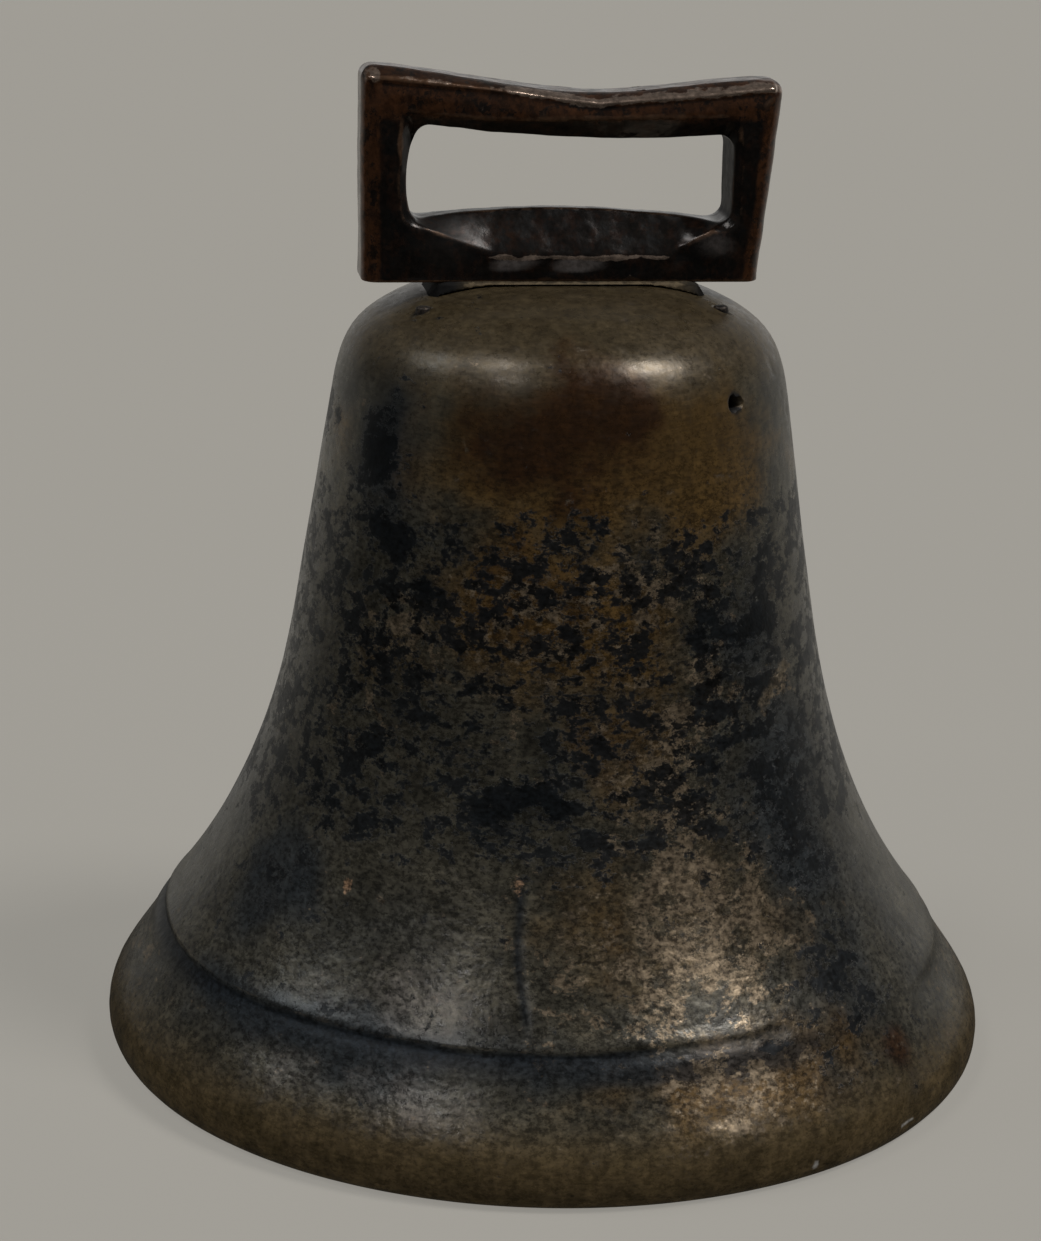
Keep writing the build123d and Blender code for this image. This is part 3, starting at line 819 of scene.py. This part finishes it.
def bell_grain(make, noises, colour):
    """The patina made lighter and darker by fine grain, which is calmer on the lip and the shoulder."""
    calm = make.weigh(make.painted("lip"), 0.8, make.painted("polish"))
    contrast = make.weigh(calm, -0.40, 0.60)
    mottle = make.plus(1.0, make.times(contrast, make.rise(noises["fine"], 0.34, 0.66, -1.0, 1.0)))
    colour = make.shade(colour, mottle)
    colour = make.shade(colour, make.rise(noises["fibre"], 0.34, 0.66, 0.82, 1.18))
    return make.shade(colour, make.rise(noises["streak"], 0.34, 0.66, 0.82, 1.18))


def bell_bumps(make, noises, flakes):
    """The finest relief: orange peel and shallow dents, smoother on the polished shoulder."""
    rougher = make.weigh(make.painted("polish"), -0.55, 1.0)
    make.raise_by(make.times(noises["dents"], rougher), 0.22 * MM)
    make.raise_by(make.times(noises["peel"], rougher), 0.075 * MM)
    make.raise_by(noises["fine"], 0.018 * MM)
    make.raise_by(flakes, 0.02 * MM)


def bell_roughness(make, noises, flakes):
    """Fairly smooth, but duller inside, in the recesses and on the dark flakes."""
    broken = make.rise(noises["island"], 0.35, 0.65, 0.20, 0.28)
    roughness = make.plus(broken, make.rise(noises["fine"], 0.35, 0.65, 0.0, 0.10))
    roughness = make.weigh(make.painted("polish"), 0.03, roughness)
    dull = make.plus(make.painted("inside"), make.plus(flakes, make.painted("recess_dirt_and_shade")))
    return make.plus(roughness, make.times(dull, 0.12))


def bell_patina():
    """Old bronze: a thin brown patina over worn metal, with crisp flakes of blue-black stain."""
    make = Finish("bell_patina")
    noises = bell_noises(make)
    masks = {}
    for name, (painted, weight, noise_name, low, high, _, _) in STAINS.items():
        masks[name] = make.rise(make.weigh(make.painted(painted), weight, noises[noise_name]), low, high)
    scuffed_and_highlight = make.rise(make.broken("edge", noises["island"], 1.6), 0.3, 0.8)
    colour = bell_metal_colour(make, noises, masks)
    colour = bell_marks_colour(make, noises, scuffed_and_highlight, colour)
    colour = bell_grain(make, noises, colour)
    colour = make.blend(make.times(make.painted("inside"), 0.85), colour, BELL_COLOURS["inside"])
    bell_bumps(make, noises, masks["dark flakes"])
    # More metallic on the tan and grey patches and the rubbed edges, their painted highlights included.
    metallic = make.weigh(make.plus(masks["tan"], make.plus(masks["grey_metal_and_highlight"], scuffed_and_highlight)), 0.36, 0.35)
    dull = make.plus(make.times(masks["dark haze"], 0.25), make.times(make.painted("recess_dirt_and_shade"), 0.35))
    specular = make.math("SUBTRACT", 0.5, dull)
    return make.done(colour, bell_roughness(make, noises, masks["dark flakes"]), metallic, specular)


LOOP_COLOURS = {
    "black brown": (0.009, 0.007, 0.006),
    "red brown": (0.064, 0.026, 0.011),
    "drip": (0.022, 0.011, 0.007),
    "black": (0.005, 0.005, 0.005),
    "grime": (0.006, 0.005, 0.005),
    "worn edge": (0.150, 0.085, 0.050),
    "rubbed bright": (0.480, 0.370, 0.300),
    "hammered grey and highlight": (0.185, 0.168, 0.164),
}


def loop_colour(make, flake, rubbed):
    """The loop's blacks and red browns, with brighter metal where hands and straps have rubbed it, and a
    painted highlight on the foot's grey hammered face and filed facet.
    """
    c = LOOP_COLOURS
    broad = make.noise(8 * MM, 5.0, 0.6)
    upright = make.noise(2.2 * MM, 5.0, 0.7, make.squashed(0.6), 9.0)
    colour = make.blend(make.rise(make.broken("red", broad, 2.0), 0.1, 0.9), c["black brown"], c["red brown"])
    colour = make.blend(make.rise(upright, 0.48, 0.60, 0.0, 0.75), colour, c["drip"])
    colour = make.blend(make.rise(flake, 0.53, 0.57, 0.0, 0.8), colour, c["black"])
    colour = make.blend(make.rise(make.broken("grime", broad, 1.2), 0.2, 0.7), colour, c["grime"])
    wear = make.broken("wear", flake, 1.5)
    colour = make.blend(make.rise(wear, 0.35, 0.9, 0.0, 0.6), colour, c["worn edge"])
    colour = make.blend(make.rise(rubbed, 0.35, 0.75, 0.0, 0.9), colour, c["rubbed bright"])
    # painted highlight: the foot's grey hammered face and filed facet are laid on lighter than the metal
    # around them
    colour = make.blend(make.rise(make.painted("grey_metal_and_highlight"), 0.2, 0.9, 0.0, 0.7), colour, c["hammered grey and highlight"])
    return make.shade(colour, make.rise(make.noise(0.9 * MM, 3.0, 0.6, shift=5.0), 0.3, 0.7, 0.65, 1.35))


def loop_patina():
    """Redder bronze, darkened in its hollows and rubbed bright along its top ridge."""
    make = Finish("loop_patina")
    flake = make.noise(3.0 * MM, 7.0, 0.7, shift=3.0)
    rubbed = make.broken("rubbed", flake, 2.2)
    colour = loop_colour(make, flake, rubbed)
    make.raise_by(make.noise(1.2 * MM, 2.0, 0.5, shift=2.0), 0.04 * MM)
    make.raise_by(make.noise(4.0 * MM, 2.0, 0.5, shift=6.0), 0.12 * MM)
    metallic = make.plus(make.rise(rubbed, 0.35, 0.75, 0.0, 0.45), 0.45)
    roughness = make.plus(make.rise(flake, 0.35, 0.65, 0.15, 0.27), make.times(make.painted("dull"), 0.35))
    return make.done(colour, roughness, metallic)


def aged(name, dark, light, accent, size, roughness, metallic, depth):
    """Two tones broken up by noise, an accent in flecks and on worn edges, and dark hollows."""
    make = Finish(name)
    broad = make.noise(size, 5.0, 0.62)
    fleck = make.noise(size * 0.28, 5.0, 0.66, shift=3.0)
    fine = make.noise(size * 0.12, 2.0)
    colour = make.blend(make.rise(broad, 0.38, 0.62), dark, light)
    colour = make.blend(make.rise(fleck, 0.54, 0.64, 0.0, 0.8), colour, accent)
    colour = make.blend(make.rise(make.painted("wear"), 0.35, 0.95, 0.0, 0.5), colour, accent)
    colour = make.blend(make.rise(make.painted("grime"), 0.35, 0.95, 0.0, 0.7), colour, dark)
    colour = make.shade(colour, make.rise(fine, 0.3, 0.7, 0.75, 1.25))
    make.raise_by(fleck, depth)
    make.raise_by(fine, depth * 0.4)
    return make.done(colour, make.rise(fleck, 0.35, 0.65, roughness - 0.08, roughness + 0.1), metallic)


BRAZE_COLOURS = {
    "deep": (0.034, 0.026, 0.015),
    "light": (0.066, 0.050, 0.029),
    "shadowed end": (0.003, 0.003, 0.003),
    "seam": (0.120, 0.092, 0.056),
}
BRAZE_SPECULAR = 0.12  # which keeps it as matt as slag


def braze_metal():
    """Braze as dark as the crown it runs over, with a thin pale line where it meets the loop's foot and its
    ends painted near black as shadow under the foot's corners.
    """
    make = Finish("braze_metal")
    c = BRAZE_COLOURS
    broad = make.noise(5 * MM, 5.0, 0.6)
    fleck = make.noise(1.4 * MM, 5.0, 0.7, shift=3.0)
    colour = make.blend(make.rise(broad, 0.35, 0.65), c["deep"], c["light"])
    # painted shadow: the bead's ends under the loop foot's corners are near black
    colour = make.blend(make.painted("corner"), colour, c["shadowed end"])
    colour = make.blend(make.rise(make.broken("seam", fleck, 1.4), 0.35, 0.8, 0.0, 0.8), colour, c["seam"])
    colour = make.shade(colour, make.rise(fleck, 0.3, 0.7, 0.6, 1.4))
    make.raise_by(fleck, 0.08 * MM)
    return make.done(colour, make.rise(broad, 0.35, 0.65, 0.60, 0.72), 0.0, BRAZE_SPECULAR)


LEATHER_DEEP = (0.030, 0.014, 0.007)
LEATHER_LIGHT = (0.085, 0.042, 0.020)


def worn_leather():
    """Old greased leather with a wrinkled grain."""
    make = Finish("worn_leather")
    grain = make.cells(0.55 * MM)
    creases = make.noise(2.5 * MM, 4.0, 0.6, shift=1.0)
    colour = make.blend(make.rise(creases, 0.35, 0.65), LEATHER_DEEP, LEATHER_LIGHT)
    colour = make.shade(colour, make.rise(grain, 0.0, 0.6, 0.65, 1.2))
    make.raise_by(grain, 0.05 * MM)
    make.raise_by(creases, 0.10 * MM)
    return make.done(colour, make.rise(creases, 0.3, 0.7, 0.55, 0.72), 0.0)


# ---- Strap loop ----


def outline(along, across, extreme, low, high):
    """The least or greatest of one coordinate in each band of another, read at each vertex."""
    marks = np.linspace(low, high, OUTLINE_MARKS)
    band = np.digitize(along, marks)
    ends = [extreme(across[band == k]) if (band == k).any() else np.nan for k in range(1, OUTLINE_MARKS)]
    middles = (marks[:-1] + marks[1:]) / 2
    known = ~np.isnan(ends)
    return np.interp(along, middles[known], np.array(ends)[known])


def rounded_drop(inward, rounding):
    """How far a face falls back near a rounded edge, at a distance in from that edge."""
    t = np.clip(1 - inward / rounding, 0, 1)
    return rounding * (1 - np.sqrt(np.clip(1 - t * t, 0, 1)))


def top_ridge(x):
    """Height of the worn front ridge of the loop's top bar."""
    return np.interp(x, TOP_RIDGE_X, TOP_RIDGE_Z)


def side_distances(x, z):
    """How far each point of the loop lies in from its left and its right side."""
    left = outline(z, x, np.min, LOOP_BOTTOM_Z, LOOP_TOP_Z)
    right = outline(z, x, np.max, LOOP_BOTTOM_Z, LOOP_TOP_Z)
    return x - left, right - x


def face_drop(x, z, from_left, from_right):
    """How far the loop's front and back fall short of its full depth: rounded, ridged and planed below."""
    from_top = outline(x, z, np.max, LOOP_LEFT, LOOP_RIGHT) - z
    drop = np.maximum(rounded_drop(from_left, OUTER_ROUNDING), rounded_drop(from_right, OUTER_ROUNDING))
    drop = np.hypot(drop, rounded_drop(from_top, TOP_ROUNDING))
    drop -= 1.1 * bump_at(z - top_ridge(x), 0.8) * (np.abs(x) < 40)
    underside = UNDERSIDE_RIDGE_Z + 0.25 * np.sin(x * 0.11) + 0.0011 * (x - 4) ** 2
    top_bar = smooth(np.abs(x), 33.5, 30.5) * (z > 180)
    return np.maximum(drop, 0.75 * top_bar * np.clip(underside - z, 0, 5))


def hammered_strength(x, y, z):
    """Where the upright face of the foot is hammered."""
    band = smooth(z, 163.9, 162.6) * smooth(z, 159.8, 161.6)
    return band * smooth(np.abs(x + 4), 15, 7) * (np.abs(y) > 5)


def facet_strength(x, y, z):
    """The facet filed on the foot's slope at the right."""
    return bump_at(np.hypot((x - 29) / 1.3, (z - 166) / 0.8), 4) * (np.abs(y) > 3)


def loop_relief(points):
    """The lumps of casting, the hammered foot, the filed facet and the notch beside it."""
    x, y, z = points.T / MM
    height = 0.22 * MM * rough(points, 15 * MM, 2, 11) + 0.08 * MM * rough(points, 5 * MM, 2, 12)
    height += 0.22 * MM * hammered_strength(x, y, z) * rough(points, 5.5 * MM, 2, 13)
    height += 0.10 * MM * smooth(z, 172, 169) * rough(points, 5.0 * MM, 2, 14)
    notch = bump_at(np.hypot(x - 22, (z - 164.5) / 1.2), 1.6) * (np.abs(y) > 2)
    height += MM * (0.25 * facet_strength(x, y, z) - 0.40 * notch)
    return height * smooth(z, 158.7, 159.6)


def paint_loop(loop, points, from_left, from_right):
    """Paints where the loop is rubbed bright, red, grey with painted highlight, and dull, from its vertices
    before their relief.
    """
    x, y, z = points.T / MM
    side = smooth(np.abs(y), 2.5, 4.5)
    strong = smooth(x, -22, -8) + 0.55 * smooth(x, -19, -23) * smooth(x, -36, -33)
    wavy = 0.5 * rough(points, 6 * MM, 3, 15)
    ridge = bump_at(z - top_ridge(x) - wavy, 0.45 + 0.45 * smooth(x, -22, -5)) * side * strong
    foot_line = bump_at(z - FOOT_LINE_Z - wavy, 0.45) * smooth(np.abs(x - 2), 20, 16) * side
    corner = bump_at(np.hypot(x + 38.2, z - 198.4), 1.3)
    paint(loop, "rubbed", np.maximum(np.maximum(ridge, foot_line), corner))
    from_side = np.minimum(from_left, from_right)
    paint(loop, "red", 0.9 * smooth(from_side, 4.2, 2.8) + 0.7 * smooth(z, 189, 191))
    clouded = smooth(rough(points, 9 * MM, 2, 17), -0.8, 0.5)
    hammered = hammered_strength(x, y, z) * clouded
    # grey: the foot's hammered face and filed facet, with painted highlight
    paint(loop, "grey_metal_and_highlight", np.maximum(hammered, 0.55 * facet_strength(x, y, z)))
    inner_face = smooth(np.abs(normals_of(loop)[:, 0]), 0.6, 0.9) * smooth(from_side, 5, 7)
    left_slope = bump_at(np.hypot(x + 24, z - 167), 6) * (np.abs(y) > 2)
    paint(loop, "dull", inner_face + left_slope)


def build_loop():
    """The strap loop, filed round at its outer edges, planed under its top bar and hammered at its foot."""
    loop = remeshed(closed_copy("strap_loop", "strap"), 0.36 * MM)
    points = relaxed(loop, points_of(loop), 2)
    x, y, z = points.T / MM
    from_left, from_right = side_distances(x, z)
    half_depth = LOOP_HALF_DEPTH - face_drop(x, z, from_left, from_right)
    points[:, 1] = np.sign(y) * np.minimum(np.abs(y), half_depth) * MM
    set_points(loop, relaxed(loop, points, 2))
    points = points_of(loop)
    set_points(loop, points + normals_of(loop) * loop_relief(points)[:, None])
    paint_loop(loop, points, from_left, from_right)
    return loop


# ---- Small pieces ----

BRAZE_EDGE_Y = 7.0  # the bead is squeezed outside this
BRAZE_SEAM_Z = 158.3  # and above this, where it meets the loop's foot
BRAZE_SAG_X = 25.5  # and its ends sag beyond this


def reworked(node, name, voxel, rounds, lumps, quiet_reach):
    """A CAD node as an even, softened skin with lumps of (height, size), left true near the pivot."""
    piece = remeshed(closed_copy(node, name), voxel * MM)
    points = relaxed(piece, points_of(piece), rounds)
    set_points(piece, points)
    height = np.zeros(len(points))
    for seed, (amount, size) in enumerate(lumps):
        height += amount * MM * rough(points, size * MM, 2, 20 + seed)
    if quiet_reach:
        away = np.linalg.norm(points - np.array(PIVOT), axis=1)
        height *= smooth(away, quiet_reach * MM, quiet_reach * MM * 1.5)
    set_points(piece, points + normals_of(piece) * height[:, None])
    return piece


def squeeze_braze(piece):
    """Squeezes the braze to a thin bead along the loop's foot, with sagging ends."""
    x, y, z = points_of(piece).T / MM
    y = np.sign(y) * (np.minimum(np.abs(y), BRAZE_EDGE_Y) + 0.4 * np.clip(np.abs(y) - BRAZE_EDGE_Y, 0, None))
    z = np.minimum(z, BRAZE_SEAM_Z) + 0.5 * np.clip(z - BRAZE_SEAM_Z, 0, None)
    z -= 1.2 * np.clip(np.abs(x) - BRAZE_SAG_X, 0, None)
    set_points(piece, np.c_[x, y, z] * MM)
    paint(piece, "seam", bump_at(z - BRAZE_SEAM_Z, 0.5) * smooth(np.abs(x - 1), 24, 20))
    # painted shadow at the bead's ends, under the loop foot's corners
    paint(piece, "corner", smooth(np.abs(x - 2), 20.0, 25.0))


def place(piece, node, body, slot, material):
    """Puts a finished piece on its body in place of its CAD node."""
    piece.data.materials.clear()
    piece.data.materials.append(material)
    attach(piece, body)
    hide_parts(node)


BRAZE = braze_metal()
FORGED = aged("forged_iron", (0.018, 0.016, 0.015), (0.055, 0.046, 0.040), (0.110, 0.048, 0.022),
              9 * MM, 0.55, 0.6, 0.06 * MM)
CAST = aged("cast_iron", (0.020, 0.019, 0.018), (0.048, 0.044, 0.041), (0.095, 0.040, 0.020),
            7 * MM, 0.6, 0.5, 0.10 * MM)
PINS = aged("chaplet_iron", (0.012, 0.011, 0.011), (0.040, 0.034, 0.030), (0.090, 0.070, 0.055),
            3 * MM, 0.5, 0.7, 0.03 * MM)
LEATHER = worn_leather()

REWORKED = [  # node, piece, body, slot, material, voxel, softening rounds, lumps, quiet reach round the pivot
    ("braze_fillet", "braze_bead", "bell", "braze", BRAZE, 0.30, 6, [(0.16, 3.5), (0.08, 1.4)], 0),
    ("core_chaplets", "chaplet_pins", "bell", "chaplet_iron", PINS, 0.15, 3, [(0.06, 1.5)], 0),
    ("crown_staple", "staple", "bell", "forged_iron", FORGED, 0.25, 3, [(0.10, 6.0), (0.05, 2.0)], 14),
    ("staple_nut", "nut", "bell", "forged_iron", FORGED, 0.22, 3, [(0.06, 4.0)], 0),
    ("crown_washer", "washer", "bell", "forged_iron", FORGED, 0.22, 3, [(0.08, 4.0)], 0),
    ("packing_disc", "leather_disc", "bell", "leather", LEATHER, 0.22, 6, [(0.12, 3.0), (0.05, 0.9)], 0),
    ("staple_bush", "leather_bush", "bush", "leather", LEATHER, 0.14, 3, [(0.03, 1.2)], 0),
    ("clapper_shaft", "shaft", "clapper", "forged_iron", FORGED, 0.30, 4, [(0.16, 7.0), (0.06, 2.5)], 14),
    ("clapper_ball", "ball", "clapper", "cast_iron", CAST, 0.40, 3, [(0.14, 6.0), (0.07, 2.0)], 0),
    ("clapper_rove", "rove", "clapper", "forged_iron", FORGED, 0.20, 3, [(0.08, 3.0)], 0),
]


def build_small_pieces():
    """Every node but the bell and its loop, reworked from the CAD."""
    for node, name, body, slot, material, voxel, rounds, lumps, quiet_reach in REWORKED:
        piece = reworked(node, name, voxel, rounds, lumps, quiet_reach)
        if node == "braze_fillet":
            squeeze_braze(piece)
        paint_wear(piece, SMALL_WEAR_REACH)
        place(piece, node, body, slot, material)


# ---- Stage ----


def build_floor():
    """A wide round floor of even matt plaster, which reflections find dim in front and bright behind."""
    steps = 96
    turn = np.arange(steps) * 2 * np.pi / steps
    rim = np.c_[np.cos(turn), np.sin(turn), np.zeros(steps)] * FLOOR_RADIUS
    floor = mesh_object("floor", rim, [tuple(range(steps))])
    make = Finish("floor_plaster")
    colour = make.shade(FLOOR_COLOUR, make.rise(make.noise(0.7, 3.0, 0.5), 0.3, 0.7, 0.99, 1.01))
    make.raise_by(make.noise(1.5 * MM, 3.0, 0.5), 0.01 * MM)
    floor.data.materials.append(make.done(colour, 0.9, 0.0, 0.0))
    backdrop = make.colour(BACKDROP_COLOUR)
    make.feed(make.surface.inputs["Emission Color"], backdrop)
    make.feed(make.surface.inputs["Emission Strength"], FLOOR_GLOW)
    seen = make.towards(BRIGHT_SIDE, *FLOOR_RISE)
    reflected = make.add("ShaderNodeEmission", {"Color": backdrop, "Strength": seen}).outputs[0]
    shader = make.choose("Is Glossy Ray", make.surface.outputs[0], reflected)
    make.feed(make.tree.nodes["Material Output"].inputs["Surface"], shader)


def build_world():
    """A soft room: plain for the camera, dim in front of the bell and bright behind it."""
    world = bpy.data.worlds.new("room")
    bpy.context.scene.world = world
    world.use_nodes = True
    world.node_tree.nodes.clear()
    make = Nodes(world.node_tree, "Generated")
    seen = make.towards(BRIGHT_SIDE, *ROOM_RISE)
    room = make.add("ShaderNodeBackground", {"Color": (*ROOM_COLOUR, 1.0), "Strength": seen}).outputs[0]
    plain = make.add("ShaderNodeBackground", {"Color": (*BACKDROP_COLOUR, 1.0)}).outputs[0]
    make.add("ShaderNodeOutputWorld", {"Surface": make.choose("Is Camera Ray", room, plain)})


def hang(light, direction, colour, place_of_lamp):
    """Puts a light in the scene, shining back along a direction."""
    light.color = colour
    lamp = added(light.name, light)
    lamp.location = place_of_lamp
    lamp.rotation_euler = Vector(direction).to_track_quat("Z", "Y").to_euler()


def build_lamps():
    """Soft round lamps far away, so that the floor is evenly lit, and two narrow beams on the lip."""
    for name, direction, strength, width, colour in LAMPS:
        light = bpy.data.lights.new(name, "SUN")
        light.energy = strength
        light.angle = math.radians(width)
        hang(light, direction, colour, (0, 0, 1))
    for name, direction, irradiance, width, colour in LOW_LAMPS:
        light = bpy.data.lights.new(name, "SPOT")
        light.energy = irradiance * 4 * math.pi * LOW_LAMP_DISTANCE**2
        light.shadow_soft_size = LOW_LAMP_DISTANCE * math.tan(math.radians(width / 2))
        light.spot_size = math.radians(LOW_LAMP_BEAM)
        light.spot_blend = 1.0
        hang(light, direction, colour, LOW_LAMP_TARGET + Vector(direction) * LOW_LAMP_DISTANCE)


def build_camera():
    """The camera, above the level of the loop and looking down at the bell's waist."""
    around = Matrix.Rotation(math.radians(CAMERA_AZIMUTH), 3, "Z")
    pitch = math.radians(CAMERA_PITCH)
    aim = math.radians(CAMERA_AIM_LEFT)
    roll = math.radians(CAMERA_ROLL)
    forward = Vector((-math.sin(aim) * math.cos(pitch), math.cos(aim) * math.cos(pitch), -math.sin(pitch)))
    level = Vector((math.cos(aim), math.sin(aim), 0))
    upright = level.cross(forward)
    right = math.cos(roll) * level + math.sin(roll) * upright
    up = math.cos(roll) * upright - math.sin(roll) * level
    columns = Matrix((around @ right, around @ up, around @ -forward)).transposed()
    camera = added("camera", bpy.data.cameras.new("camera"))
    camera.data.lens = CAMERA_LENS
    camera.data.sensor_width = CAMERA_SENSOR
    camera.data.clip_end = CAMERA_SIGHT
    place_of_camera = around @ Vector((0, -CAMERA_DISTANCE, CAMERA_HEIGHT))
    camera.matrix_world = Matrix.Translation(place_of_camera) @ columns.to_4x4()
    bpy.context.scene.camera = camera


# ---- The whole ----

bell = build_bell()
paint_bell(bell)
place(bell, "bell_body", "bell", "bell_bronze", bell_patina())

loop = build_loop()
paint_wear(loop, LOOP_WEAR_REACH)
place(loop, "strap_loop", "bell", "loop_bronze", loop_patina())

build_small_pieces()
build_floor()
build_world()
build_lamps()
build_camera()
bpy.context.scene.view_settings.view_transform = "Standard"
